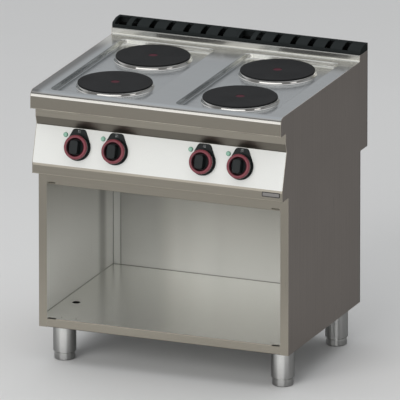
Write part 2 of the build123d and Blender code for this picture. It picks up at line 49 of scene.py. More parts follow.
# Camera: the photo is a parallel view, so a very long lens stands far off
VIEW_TURN = 22.0
VIEW_RISE = 17.0
VIEW_AIM = Vector((0.0013, 0.0057, 0.4737))
VIEW_WIDTH = 1.1924
LENS_MM = 1500.0
SENSOR_MM = 36.0

# Places on the range, in metres; the plates' tops are level with the worktop's rim
PANEL_OUT = Vector(joints["knob_1_turn"]["axis"])
PANEL_RIGHT = Vector((1.0, 0.0, 0.0))
PANEL_RISE = PANEL_OUT.cross(PANEL_RIGHT)
RIM_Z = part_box("hot_plate_front_left")[1].z
SIDE_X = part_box("side_panel_right")[1].x
STILE_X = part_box("side_panel_right")[0].x
PLATE_LOW, PLATE_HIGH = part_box("hot_plate_front_right")
REAR_PLATE_LOW, REAR_PLATE_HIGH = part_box("hot_plate_rear_right")
PLATE_X = (PLATE_LOW.x + PLATE_HIGH.x) / 2
PLATE_R = (PLATE_HIGH.x - PLATE_LOW.x) / 2
FRONT_ROW_Y = (PLATE_LOW.y + PLATE_HIGH.y) / 2
REAR_ROW_Y = (REAR_PLATE_LOW.y + REAR_PLATE_HIGH.y) / 2
LIP_FACE_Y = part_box("panel_lip")[0].y
LIP_FOOT_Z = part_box("panel_lip")[0].z
LIP_END_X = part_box("panel_lip")[1].x
BACK_PANEL_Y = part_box("back_panel")[1].y
BACK_PANEL_FOOT_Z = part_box("back_panel")[0].z
BACK_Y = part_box("side_panel_right")[1].y
SHELF_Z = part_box("bottom_shelf")[1].z
SHELF_BACK_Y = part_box("bottom_shelf")[1].y
WALL_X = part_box("bottom_shelf")[1].x
DUCT_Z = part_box("rear_cover")[0].z
DUCT_BACK_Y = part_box("rear_cover")[1].y
NOSE_H = 0.018
NOSE_W = 0.022
FASCIA_TOP_Z = RIM_Z - NOSE_H
FASCIA_FOOT_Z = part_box("worktop")[0].z
NOSE_BACK_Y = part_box("worktop")[0].y + NOSE_W
LEDGE_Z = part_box("worktop")[1].z
GRILLE_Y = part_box("vent_grille_left")[0].y

# Where finishes and painted light and shade change, in metres: a mask is 0 at the first value and 1 at the
# second
FRONT_HALF_Y = (0.0, -0.1)
ABOVE_LIP_Z = (LIP_FOOT_Z + 0.03, LIP_FOOT_Z + 0.04)
SKIN_X = (SIDE_X - 0.0012, SIDE_X - 0.0006)
SIDE_RISE_Z = (SHELF_Z + 0.12, SHELF_Z + 0.45)
STRIP_Y = (SHELF_BACK_Y - 0.003, SHELF_BACK_Y - 0.001)
TOP_BEND_Y = (BACK_Y - 0.0075, BACK_Y - 0.004)
LOW_BEND_Y = (BACK_PANEL_Y - 0.009, BACK_PANEL_Y - 0.0055)
BELOW_DUCT_Z = (DUCT_Z + 0.001, DUCT_Z)
BACK_RISE_Z = (SHELF_Z + 0.02, SHELF_Z + 0.42)
AT_BACK_Y = (SHELF_BACK_Y + 0.0005, SHELF_BACK_Y + 0.001)
OUT_OF_CORNER_X = (0.1235 - WALL_X, 0.1985 - WALL_X)
LIFT_LEFT_X = (0.1285 - WALL_X, 0.2085 - WALL_X)
LIFT_RIGHT_X = (0.3485 - WALL_X, 0.2085 - WALL_X)
SHELF_TOP_Z = (SHELF_Z + 0.001, SHELF_Z)
SHELF_JOINT_Z = (SHELF_Z + 0.002, SHELF_Z + 0.001)
LEFT_EDGE_X = (0.04 - SIDE_X, 0.016 - SIDE_X)
REAR_RIM_Y = (0.12, 0.26)
FASCIA_Z = (FASCIA_TOP_Z - 0.0002, FASCIA_TOP_Z - 0.0012)
FASCIA_HEM_Z = (FASCIA_FOOT_Z + 0.0035, FASCIA_FOOT_Z + 0.0015)
UPSTAND_Z = (RIM_Z + 0.002, RIM_Z + 0.006)
NOSE_Z = (RIM_Z - 0.003, RIM_Z - 0.009)
NOSE_Y = (NOSE_BACK_Y, NOSE_BACK_Y - 0.006)
WELL_Z = (RIM_Z - 0.009, RIM_Z - 0.013)
WELL_Y = (NOSE_BACK_Y, NOSE_BACK_Y + 0.006)
LEDGE_TOP_Z = (LEDGE_Z - 0.0012, LEDGE_Z - 0.0008)
UNDER_GRILLE_Y = (GRILLE_Y + 0.0028, GRILLE_Y + 0.0034)
DUCT_INSIDE_Y = (DUCT_BACK_Y - 0.0003, DUCT_BACK_Y - 0.0008)
DUCT_INSIDE_Z = (DUCT_Z + 0.0005, DUCT_Z + 0.001)
PLATE_RIM_R = (PLATE_R - 0.008, PLATE_R - 0.0065)
PLATE_DOT_R = (0.0135, 0.0125)
RING_THROAT_R = (0.0298, 0.0272)

# Lines, and bands of painted light and reflection, in metres: from, to and the soft width outside
LIP_HEM_Z = (LIP_FOOT_Z, LIP_FOOT_Z + 0.002, 0.0012)
SIDE_PAINTED_REFLECTION_Y = (0.208, 0.22, 0.036)
SIDE_JOINT_Z = (SHELF_Z, SHELF_Z + 0.0016, 0.0008)
STRIP_EDGE_X = (STILE_X, STILE_X + 0.0016, 0.0006)
STRIP_CORNER_X = (WALL_X - 0.002, WALL_X, 0.0006)
BACK_STRIP_X = (STILE_X - 0.0018, STILE_X, 0.0006)
SHELF_END_X = (WALL_X - 0.0016, WALL_X, 0.0006)
SHELF_REAR_Y = (SHELF_BACK_Y - 0.004, SHELF_BACK_Y, 0.001)

# Which way a face looks: the share of its normal along an axis at which a mask starts and is full
DOWNWARD = (-0.12, -0.28)
FORWARD = (-0.4, -0.8)
LIP_FORWARD = (-0.3, -0.7)
BACKWARD = (0.2, 0.6)
STRAIGHT_OUT = (0.6, 1.0)

# Colours, as linear red, green and blue; a pair is low and high on a wall, or dark and light
FRONT_STEEL = (0.423, 0.39, 0.33)
# Painted light: the side skin is the same steel as the front sheets, in a lighter tone for the light it gets
SIDE_STEEL = (0.745, 0.668, 0.61)
# Painted light and shade inside the cabinet, low and high: pale low down, darker towards the top; the
# reflection band is painted too
SIDE_INSIDE_PAINTED_LIGHT_AND_SHADE = ((0.94, 0.94, 0.91), (0.47, 0.458, 0.42))
SIDE_PAINTED_REFLECTION = ((0.52, 0.52, 0.495), (0.15, 0.148, 0.14))
SIDE_STRIP_PAINTED_SHADE = ((0.78, 0.78, 0.745), (0.24, 0.235, 0.218))
SIDE_JOINT = (0.56, 0.56, 0.52)
SIDE_SEAM = (0.36, 0.36, 0.33)
# Painted shade along the side skin's rear bends
SIDE_BEND_PAINTED_SHADE = (0.34, 0.33, 0.31)
# Painted light: the cabinet's inner sheet, far paler than the outer steel
INNER_STEEL_PAINTED_LIGHT = (0.96, 0.96, 0.93)
# Painted shade on the back wall, low and high: darker towards the top and in the left corner; the band
# beside the corner is painted light
BACK_WALL_PAINTED_SHADE = ((0.595, 0.592, 0.555), (0.37, 0.352, 0.3))
BACK_CORNER_PAINTED_SHADE = ((0.68, 0.68, 0.645), (0.265, 0.255, 0.23))
BACK_PAINTED_LIGHT = ((0.86, 0.855, 0.805), (0.36, 0.345, 0.3))
BACK_OUTSIDE = (0.5, 0.5, 0.475)
INNER_JOINT = (0.42, 0.415, 0.385)
WORKTOP_STEEL = (0.585, 0.612, 0.622)
# Painted reflections on the worktop: dark on the left edge, light on the rear rim, a warm highlight on the
# nose, dark on the upstand; painted shade on the ledge
WORKTOP_EDGE_PAINTED_REFLECTION = (0.25, 0.25, 0.245)
WORKTOP_REAR_PAINTED_REFLECTION = (0.92, 0.915, 0.86)
WORKTOP_NOSE_PAINTED_HIGHLIGHT = (0.68, 0.66, 0.615)
WORKTOP_UPSTAND_PAINTED_REFLECTION = (0.47, 0.467, 0.44)
WORKTOP_LEDGE_PAINTED_SHADE = (0.02, 0.02, 0.02)
LEG_STEEL = (0.95, 0.95, 0.93)
SPILL_RING_STEEL = (0.9, 0.885, 0.85)
SHAFT_STEEL = (0.5, 0.5, 0.5)
ZINC = ((0.36, 0.37, 0.38), (0.5, 0.51, 0.52))
# Painted shade: a much darker zinc for the base channels, seen through the shelf's holes
ZINC_IN_PAINTED_SHADE = ((0.07, 0.072, 0.075), (0.1, 0.102, 0.105))
SCREW_ZINC = ((0.42, 0.43, 0.44), (0.55, 0.56, 0.57))
CAST_IRON = ((0.012, 0.0125, 0.0132), (0.0175, 0.018, 0.0188))
CAST_RIM = (0.015, 0.0155, 0.016)
CAST_DOT = (0.075, 0.017, 0.027)
RING_RED = ((0.185, 0.037, 0.05), (0.235, 0.05, 0.066))
RING_THROAT = (0.03, 0.006, 0.009)
# Green lens, dark and light; the light one is a painted highlight on the dome's crown
LENS_GREEN_AND_PAINTED_HIGHLIGHT = ((0.11, 0.33, 0.22), (0.27, 0.5, 0.385))
BLANK_FIELD = ((0.2, 0.19, 0.185), (0.25, 0.24, 0.232))
BLANK_RIM = (0.012, 0.013, 0.013)
PANEL_WHITE = (0.78, 0.785, 0.755)
GRIP_BLACK = (0.009, 0.012, 0.0125)
BEZEL_BLACK = (0.008, 0.011, 0.011)
GRILLE_BLACK = (0.024, 0.0275, 0.0278)
SEAL_BLACK = (0.008, 0.008, 0.008)
SWITCH_GREY = (0.09, 0.09, 0.1)
TERMINAL_CREAM = (0.55, 0.53, 0.47)
GLAND_GREY = (0.25, 0.26, 0.27)
SIGN_GREY = (0.34, 0.35, 0.35)

# Grain, gloss, and shares of painted light and shade; GRAIN gives fine and broad repeats in a metre, for
# marks along an axis or round a tube
GRAIN = {
    "X": ((9.0, 1400.0, 1400.0), (1.6, 130.0, 130.0)),
    "Z": ((1400.0, 1400.0, 9.0), (130.0, 130.0, 1.6)),
    "ring": ((20.0, 20.0, 1800.0), (20.0, 20.0, 240.0)),
}
NOISE_ROUGHNESS = 0.55
NOISE_SPREAD = (0.3, 0.7)
HANDLING_SCALE = 5.0
STREAK_SHARE = 0.3
BROAD_SHARE = 0.4
HANDLING_SHARE = 0.3
STEEL_GLOSS_CHANGE = 0.12
# Painted shade on faces that turn under, as a share of the front sheet's colour
UNDERSIDE_PAINTED_SHADE = 0.5
# Painted light along the hems of the lip and the fascia, lightening the shade of their bends, as shares of
# the front sheet's colour
LIP_HEM_PAINTED_LIGHT = 1.5
FASCIA_HEM_PAINTED_LIGHT = 1.7
MOULD_SCALE = 1500.0
MOULD_DEPTH = 0.00002
MOULD_WAVE_SHARE = 0.03
MOULD_GLOSS_CHANGE = 0.15
WORKTOP_GLOSS = 0.15
WELL_GLOSS = 0.25
REAR_RIM_GLOSS = 0.25
UPSTAND_GLOSS = 0.19
SIDE_INSIDE_METAL = 0.25
INNER_METAL = 0.3
SHELF_METAL_SHARE = 0.8
CAST_SCALE = 900.0
CAST_CLOUD_SCALE = 14.0
CAST_DEPTH = 0.00004
CAST_GLOSS = (0.55, 0.72)
TURNING_PITCH = 0.0016
TURNING_SHARE = 0.3
LENS_RIPPLE_SCALE = 600.0
LENS_RIPPLE_SHARE = 0.15
LENS_GRAIN_SCALE = 900.0
LENS_DEPTH = 0.00002
ZINC_FLAKES = 95.0
ZINC_GLOSS = (0.34, 0.5)
# Painted shade inside the rear duct, as a share of the zinc's dark colour
DUCT_PAINTED_SHADE = 0.06

# Small pieces, in metres
SCREW_R = 0.0042
SCREW_H = 0.0024
SCREW_ROUND = 0.0013
SCREW_RECESS_W = 0.0011
SCREW_RECESS_REACH = 0.0014
SCREW_RECESS_STRETCH = 2.2
SCREW_UP = 0.025
SCREW_PITCH = 0.149
SCREW_ROWS_Z = [BACK_PANEL_FOOT_Z + SCREW_UP + row * SCREW_PITCH for row in range(4)]
SIGN_DOT_R = 0.0018
SIGN_LINE = 0.0005
SIGN_PITCH = 0.0046
SIGN_PROUD = 0.00015
SIGN_UP = 0.047
# Column and row of the plate that each knob works, from the left and from the front
KNOB_PLATE = {1: (0, 1), 2: (0, 0), 3: (1, 0), 4: (1, 1)}
BEZEL_T = 0.0025
BLANK_PLATE_SIZE = (0.057, 0.0014, 0.015)
BLANK_PLATE_PLACE = Vector((LIP_END_X - 0.0355, LIP_FACE_Y - 0.0005, LIP_FOOT_Z + 0.0194))
BLANK_PLATE_CORNER = 0.003
BLANK_PLATE_RIM = 0.002
BLANK_PLATE_STEP = 0.0003
BLANK_PLATE_SINK = 0.0005
BLANK_PLATE_SATIN_IN = 0.0002
BLANK_PLATE_DEPTH = 0.000003
# Shares of the sunk depth at which the satin field starts and is full
BLANK_PLATE_SATIN_AT = (0.4, 0.8)
GRILLE_WALL = 0.0035
SEAL_W = 0.003
SEAL_H = 0.0025
SEAL_ROUND = 0.4 * SEAL_H
# Half sections from the foot up: radius and height
RING_SECTION = ((0.117, 0.0), (0.117, 0.0008), (0.116, 0.0014), (0.1151, 0.0024), (0.1144, 0.004),
                (0.1139, 0.0056), (0.1125, 0.0102), (0.112, 0.0107), (0.111, 0.011), (0.106, 0.011))
RING_SHEET = 0.0008
FOOT_SECTION = ((0.0285, 0.0), (0.0315, 0.003), (0.0315, 0.0178), (0.0313, 0.0181), (0.0309, 0.0181),
                (0.0307, 0.0184), (0.0307, 0.0189), (0.0309, 0.0192), (0.0313, 0.0192), (0.0315, 0.0195),
                (0.0315, 0.0221), (0.0309, 0.0227), (0.0275, 0.0227), (0.0275, 0.0257), (0.0088, 0.0257),
                (0.0088, 0.0942), (0.0072, 0.0957))
THREAD_R = 0.0092
THREAD_TOOTH = 0.0014
THREAD_PITCH = 0.0025
THREAD_START_Z = 0.0272
THREAD_TURNS = 26
THREAD_STEPS = 28
MERGE = 0.00001
# Sides of round pieces, steps of rounded edges, and the share of a normal that counts as facing an axis
SMALL_SIDES = 24
FOOT_SIDES = 56
RING_SIDES = 96
ROUND_STEPS = 4
CORNER_STEPS = 5
SQUARE_ON = 0.9
SHARP_ANGLE = math.radians(32.0)

# Studio: lengths in metres; the air's masks are shares of a direction along an axis
FLOOR_SIZE = 80.0
FLOOR_CLOUD_SCALE = 1.5
FLOOR_PALE = ((0.74, 0.74, 0.73), (0.77, 0.77, 0.76))
FLOOR_FAR = (0.45, 0.45, 0.445)
FLOOR_FAR_Y = (-1.8, -3.8)
FLOOR_AHEAD_Y = (-0.3, -0.45)
FLOOR_NEAR_Y = (-1.3, -0.9)
# Painted reflection: the floor's colour as the steel mirrors it
PAINTED_REFLECTION_BESIDE = (0.17, 0.17, 0.168)
PAINTED_REFLECTION_AHEAD = (0.42, 0.42, 0.415)
PAINTED_REFLECTION_NEAR = (0.74, 0.74, 0.73)
AIR = ((0.42, 0.425, 0.43), (0.6, 0.61, 0.63))
AIR_RISE = (0.1, 0.9)
RIGHT_AIR = (0.17, 0.17, 0.17)
RIGHT_SHARE_X = 0.9
RIGHT_SHARE_Y = 0.4
RIGHT_REACH = (0.15, 0.6)
RIGHT_RISE = (0.66, 0.4)
AHEAD_AIR = (0.16, 0.16, 0.16)
AHEAD_REACH = (0.1, -0.5)
AHEAD_RISE = (0.88, 0.6)
KEY_TURN = -15.0
KEY_RISE = 26.0
KEY_DISTANCE = 6.0
KEY_STRENGTH = 0.95
KEY_ANGLE = math.radians(35.0)
SOFTBOXES = (
    {"name": "overhead", "place": (0.0, -0.3, 4.5), "target": (0.0, 0.0, 0.0),
     "width": 5.0, "height": 5.0, "glow": 0.9, "matt": True, "glossy": False},
    {"name": "front_sheet", "place": (0.2, -4.3, 1.58), "target": (0.2, 0.0, 1.58),
     "width": 6.2, "height": 3.1, "glow": 1.0, "matt": True, "glossy": True},
    {"name": "right_strip", "place": (4.0, -1.2, 1.7), "target": (0.0, 0.0, 0.9),
     "width": 1.3, "height": 1.4, "glow": 0.7, "matt": False, "glossy": True},
)


# Shader helpers
def put(tree, kind, plugs=(), **settings):
    """Adds a node, sets its options, and fills its inputs by name or number with values or links."""
    made = tree.nodes.new(kind)
    for key, value in settings.items():
        setattr(made, key, value)
    for key, plug in dict(plugs).items():
        socket = made.inputs[key]
        if isinstance(plug, bpy.types.NodeSocket):
            tree.links.new(plug, socket)
        else:
            socket.default_value = plug
    return made


def calc(tree, operation, first, second=0.0):
    """Output of a maths node on one or two values."""
    return put(tree, "ShaderNodeMath", {0: first, 1: second}, operation=operation).outputs[0]


def both(tree, first, second):
    """Mask of the place where two masks meet, or the product of two numbers."""
    return calc(tree, "MULTIPLY", first, second)


def either(tree, first, second):
    """Mask of the place that one mask or the other covers."""
    return calc(tree, "MAXIMUM", first, second)


def vector_calc(tree, operation, plugs, output="Vector"):
    """Output of a vector maths node."""
    return put(tree, "ShaderNodeVectorMath", plugs, operation=operation).outputs[output]


def remap(tree, value, low, high, to_low=0.0, to_high=1.0, smooth=False):
    """Value carried from one range to another and held at its ends."""
    kind = "SMOOTHSTEP" if smooth else "LINEAR"
    plugs = {"Value": value, "From Min": low, "From Max": high, "To Min": to_low, "To Max": to_high}
    return put(tree, "ShaderNodeMapRange", plugs, interpolation_type=kind).outputs[0]


def fade(tree, value, ends, smooth=False):
    """Mask that goes from 0 at the first end to 1 at the second."""
    return remap(tree, value, *ends, smooth=smooth)


def band(tree, value, low, high, soft):
    """Mask that is 1 between two values and fades over a soft width outside them."""
    rising = fade(tree, value, (low - soft, low), smooth=True)
    falling = fade(tree, value, (high + soft, high), smooth=True)
    return both(tree, rising, falling)


def mix(tree, factor, first, second):
    """Mixes two numbers."""
    return put(tree, "ShaderNodeMix", {0: factor, 2: first, 3: second}).outputs[0]


def tint(tree, factor, first, second):
    """Mixes two colours, each a link or a triple."""
    plugs = {0: factor}
    for place, colour in ((6, first), (7, second)):
        plugs[place] = colour if isinstance(colour, bpy.types.NodeSocket) else (*colour, 1.0)
    return put(tree, "ShaderNodeMix", plugs, data_type="RGBA").outputs[2]


def shade(colour, factor):
    """Colour made darker or lighter by a factor."""
    return tuple(min(1.0, part * factor) for part in colour)


def noise(tree, vector, scale, detail=3.0):
    """Fractal noise from 0 to 1."""
    plugs = {"Vector": vector, "Scale": scale, "Detail": detail, "Roughness": NOISE_ROUGHNESS}
    return put(tree, "ShaderNodeTexNoise", plugs).outputs["Fac"]


def new_group(name, inputs, outputs):
    """Starts a shader node group with named sockets and returns it with its two ends."""
    group = bpy.data.node_groups.new(name, "ShaderNodeTree")
    for kind, label in inputs:
        group.interface.new_socket(label, in_out="INPUT", socket_type=kind)
    for label in outputs:
        group.interface.new_socket(label, in_out="OUTPUT", socket_type="NodeSocketFloat")
    start = group.nodes.new("NodeGroupInput")
    end = group.nodes.new("NodeGroupOutput")
    return group, start, end


def make_brushed_grain():
    """Fine and broad brush streaks, and slow clouds of handling."""
    inputs = (("NodeSocketVector", "Vector"), ("NodeSocketVector", "Fine"), ("NodeSocketVector", "Broad"))
    group, start, end = new_group("brushed_grain", inputs, ("Streak", "Tone"))
    place = start.outputs["Vector"]
    fine = vector_calc(group, "MULTIPLY", {0: place, 1: start.outputs["Fine"]})
    broad = vector_calc(group, "MULTIPLY", {0: place, 1: start.outputs["Broad"]})
    streak = noise(group, fine, 1.0, detail=2.0)
    tone = both(group, streak, STREAK_SHARE)
    tone = calc(group, "ADD", tone, both(group, noise(group, broad, 1.0, detail=4.0), BROAD_SHARE))
    tone = calc(group, "ADD", tone, both(group, noise(group, place, HANDLING_SCALE), HANDLING_SHARE))
    group.links.new(streak, end.inputs["Streak"])
    group.links.new(fade(group, tone, NOISE_SPREAD), end.inputs["Tone"])
    return group


def make_moulded_skin():
    """Spark-eroded grain of moulded plastic and enamel's slow unevenness."""
    inputs = (("NodeSocketVector", "Vector"), ("NodeSocketFloat", "Scale"))
    group, start, end = new_group("moulded_skin", inputs, ("Grain", "Wave"))
    place = start.outputs["Vector"]
    group.links.new(noise(group, place, start.outputs["Scale"], detail=2.0), end.inputs["Grain"])
    slow = both(group, start.outputs["Scale"], MOULD_WAVE_SHARE)
    group.links.new(noise(group, place, slow), end.inputs["Wave"])
    return group


BRUSHED_GRAIN = make_brushed_grain()
MOULDED_SKIN = make_moulded_skin()


class Finish:
    """One material under way: its tree, its shader and the piece's own coordinates."""

    def __init__(self, name, metallic=0.0, roughness=0.5, **constants):
        self.material = bpy.data.materials.new(name)
        self.material.use_nodes = True
        self.tree = self.material.node_tree
        self.shader = self.tree.nodes["Principled BSDF"]
        self.shader.inputs["Metallic"].default_value = metallic
        self.shader.inputs["Roughness"].default_value = roughness
        for key, value in constants.items():
            self.shader.inputs[key.replace("_", " ")].default_value = value
        self.place = self.tree.nodes.new("ShaderNodeTexCoord").outputs["Object"]

    def axes(self):
        """Place on the piece, as X, Y and Z."""
        return put(self.tree, "ShaderNodeSeparateXYZ", {0: self.place}).outputs

    def normal(self):
        """Direction of the surface, as one vector."""
        return self.tree.nodes.new("ShaderNodeNewGeometry").outputs["Normal"]

    def facing(self):
        """Direction of the surface, as X, Y and Z."""
        return put(self.tree, "ShaderNodeSeparateXYZ", {0: self.normal()}).outputs

    def marks(self, group, **plugs):
        """Places a node group in the finish with its own values and returns its outputs."""
        return put(self.tree, "ShaderNodeGroup", {"Vector": self.place, **plugs}, node_tree=group).outputs

    def plug(self, name, socket):
        """Links an output to one of the shader's inputs."""
        self.tree.links.new(socket, self.shader.inputs[name])

    def bump(self, height, distance):
        """Raises the surface by a height map, over a distance in metres."""
        plugs = {"Height": height, "Distance": distance, "Strength": 1.0}
        self.plug("Normal", put(self.tree, "ShaderNodeBump", plugs).outputs[0])


def brushed_steel(name, colour, roughness=None, grain="X", depth=0.000004, change=0.08, **constants):
    """Stainless steel, brushed along an axis or round a tube; returns the finish and its colour socket."""
    steel = Finish(name, metallic=1.0, **constants)
    fine, broad = GRAIN[grain]
    marks = steel.marks(BRUSHED_GRAIN, Fine=fine, Broad=broad)
    colour_out = tint(steel.tree, marks["Tone"], shade(colour, 1 - change), shade(colour, 1 + change))
    if roughness is not None:
        rougher, smoother = roughness * (1 + STEEL_GLOSS_CHANGE), roughness * (1 - STEEL_GLOSS_CHANGE)
        steel.plug("Roughness", remap(steel.tree, marks["Tone"], 0.0, 1.0, rougher, smoother))
    steel.bump(marks["Streak"], depth)
    return steel, colour_out


def steel_material(name, colour, roughness, grain="X", **options):
    """Plain brushed steel."""
    steel, colour_out = brushed_steel(name, colour, roughness, grain, **options)
    steel.plug("Base Color", colour_out)
    return steel.material


def front_sheet_material():
    """Apron, lip and rail: warm brushed sheet, with painted shade where it turns under above the lip and
    painted light along the lip's hem.
    """
    steel, colour_out = brushed_steel("front_sheet_steel", FRONT_STEEL, roughness=0.3)
    tree = steel.tree
    z = steel.axes()["Z"]
    # Painted shade: faces that turn downward above the lip are darkened
    under = fade(tree, steel.facing()["Z"], DOWNWARD)
    under = both(tree, under, fade(tree, z, ABOVE_LIP_Z))
    colour = tint(tree, under, colour_out, shade(FRONT_STEEL, UNDERSIDE_PAINTED_SHADE))
    # Painted light: a lighter band along the lip's hem
    hem = band(tree, z, *LIP_HEM_Z)
    steel.plug("Base Color", tint(tree, hem, colour, shade(FRONT_STEEL, LIP_HEM_PAINTED_LIGHT)))
    return steel.material


def side_sheet_material():
    """Side sheet: brushed skin in a lighter tone than the front stile as painted light; inside the cabinet a
    face painted pale low down and darker towards the top, with a painted reflection band, and painted shade
    along the rear bends.
    """
    steel, outside = brushed_steel("side_sheet_steel", SIDE_STEEL, roughness=0.3, grain="Z")
    tree = steel.tree
    x, y, z = steel.axes()
    across = calc(tree, "ABSOLUTE", x)
    forward = fade(tree, steel.facing()["Y"], FORWARD)
    skin = fade(tree, across, SKIN_X)
    height = fade(tree, z, SIDE_RISE_Z, smooth=True)
    # Painted light and shade: pale low down, darker towards the top
    inside = tint(tree, height, *SIDE_INSIDE_PAINTED_LIGHT_AND_SHADE)
    # Painted reflection: a darker soft band down the inside wall
    inside = tint(tree, band(tree, y, *SIDE_PAINTED_REFLECTION_Y), inside, tint(tree, height, *SIDE_PAINTED_REFLECTION))
    # Painted shade: the forward-facing folds darken towards the top
    inside = tint(tree, forward, inside, tint(tree, height, *SIDE_STRIP_PAINTED_SHADE))
    inside = tint(tree, band(tree, z, *SIDE_JOINT_Z), inside, SIDE_JOINT)
    seam = either(tree, band(tree, across, *STRIP_EDGE_X), band(tree, across, *STRIP_CORNER_X))
    seam = both(tree, seam, fade(tree, y, STRIP_Y))
    inside = tint(tree, seam, inside, SIDE_SEAM)
    colour = tint(tree, skin, inside, outside)
    # Painted shade along the skin's rear bends
    bend = both(tree, fade(tree, y, TOP_BEND_Y), skin)
    low_bend = both(tree, fade(tree, y, LOW_BEND_Y), skin)
    low_bend = both(tree, low_bend, fade(tree, z, BELOW_DUCT_Z))
    colour = tint(tree, either(tree, bend, low_bend), colour, SIDE_BEND_PAINTED_SHADE)
    # Painted light: the forward-facing stile takes the front sheets' darker tone, though it is the same
    # steel as the skin
    stile = both(tree, forward, fade(tree, y, FRONT_HALF_Y))
    steel.plug("Base Color", tint(tree, stile, colour, FRONT_STEEL))
    steel.plug("Metallic", remap(tree, either(tree, skin, stile), 0.0, 1.0, SIDE_INSIDE_METAL, 1.0))
    return steel.material


def inner_sheet_material():
    """Shelf, back and ceiling of the cabinet: sheet painted pale as painted light, with dark joint lines;
    the back wall has painted shade towards the top and in the left corner, and a painted light band beside
    it.
    """
    steel, colour_out = brushed_steel("inner_sheet_steel", INNER_STEEL_PAINTED_LIGHT, roughness=0.22, change=0.03)
    tree = steel.tree
    x, y, z = steel.axes()
    across = calc(tree, "ABSOLUTE", x)
    height = fade(tree, z, BACK_RISE_Z)
    at_back = fade(tree, y, AT_BACK_Y)
    # Painted shade: the back wall darkens towards the top
    wall = tint(tree, height, *BACK_WALL_PAINTED_SHADE)
    # Painted shade in the back wall's left corner
    wall = tint(tree, fade(tree, x, OUT_OF_CORNER_X, smooth=True), tint(tree, height, *BACK_CORNER_PAINTED_SHADE), wall)
    # Painted light: a lighter band beside the corner
    painted_light_band = both(tree, fade(tree, x, LIFT_LEFT_X, smooth=True), fade(tree, x, LIFT_RIGHT_X))
    wall = tint(tree, painted_light_band, wall, tint(tree, height, *BACK_PAINTED_LIGHT))
    wall = tint(tree, fade(tree, steel.facing()["Y"], BACKWARD), wall, BACK_OUTSIDE)
    colour = tint(tree, at_back, colour_out, wall)
    strip_line = both(tree, band(tree, across, *BACK_STRIP_X), at_back)
    end_line = band(tree, across, *SHELF_END_X)
    rear_line = both(tree, band(tree, y, *SHELF_REAR_Y), fade(tree, z, SHELF_JOINT_Z))
    joint = either(tree, either(tree, strip_line, end_line), rear_line)
    colour = tint(tree, joint, colour, INNER_JOINT)
    # Painted light: the shelf's forward-facing lip takes the front sheets' darker tone
    lip = both(tree, fade(tree, steel.facing()["Y"], LIP_FORWARD), fade(tree, y, FRONT_HALF_Y))
    steel.plug("Base Color", tint(tree, lip, colour, FRONT_STEEL))
    bright = either(tree, lip, both(tree, fade(tree, z, SHELF_TOP_Z), SHELF_METAL_SHARE))
    steel.plug("Metallic", remap(tree, bright, 0.0, 1.0, INNER_METAL, 1.0))
    return steel.material


def worktop_material():
    """Pressed top: cool rim and wells; painted reflections, dark on the left edge and upstand and light on
    the rear rim; a painted highlight tint on the nose; painted shade on the ledge; a fascia toned like the
    front sheets as painted light.
    """
    steel, colour = brushed_steel("worktop_steel", WORKTOP_STEEL)
    tree = steel.tree
    x, y, z = steel.axes()
    # Painted reflection: a dark band along the left edge
    colour = tint(tree, fade(tree, x, LEFT_EDGE_X, smooth=True), colour, WORKTOP_EDGE_PAINTED_REFLECTION)
    # Painted reflection: the rear rim lighter
    rear = fade(tree, y, REAR_RIM_Y, smooth=True)
    colour = tint(tree, rear, colour, WORKTOP_REAR_PAINTED_REFLECTION)
    # Painted highlight: a warmer, lighter tone on the nose
    nose = both(tree, fade(tree, z, NOSE_Z), fade(tree, y, NOSE_Y))
    colour = tint(tree, nose, colour, WORKTOP_NOSE_PAINTED_HIGHLIGHT)
    # Painted reflection: the upstand darker
    upstand = fade(tree, z, UPSTAND_Z)
    colour = tint(tree, upstand, colour, WORKTOP_UPSTAND_PAINTED_REFLECTION)
    # Painted shade on the ledge under the grilles
    ledge = both(tree, fade(tree, z, LEDGE_TOP_Z), fade(tree, y, UNDER_GRILLE_Y))
    colour = tint(tree, ledge, colour, WORKTOP_LEDGE_PAINTED_SHADE)
    # Painted light: a lighter band along the fascia's hem
    front = tint(tree, fade(tree, z, FASCIA_HEM_Z), FRONT_STEEL, shade(FRONT_STEEL, FASCIA_HEM_PAINTED_LIGHT))
    # Painted light: the fascia takes the front sheets' tone, darker and warmer than the top of the same
    # sheet
    steel.plug("Base Color", tint(tree, fade(tree, z, FASCIA_Z), colour, front))
    behind = remap(tree, upstand, 0.0, 1.0, REAR_RIM_GLOSS, UPSTAND_GLOSS)
    gloss = mix(tree, rear, WORKTOP_GLOSS, behind)
    well = both(tree, fade(tree, z, WELL_Z), fade(tree, y, WELL_Y))
    steel.plug("Roughness", mix(tree, well, gloss, WELL_GLOSS))
    return steel.material


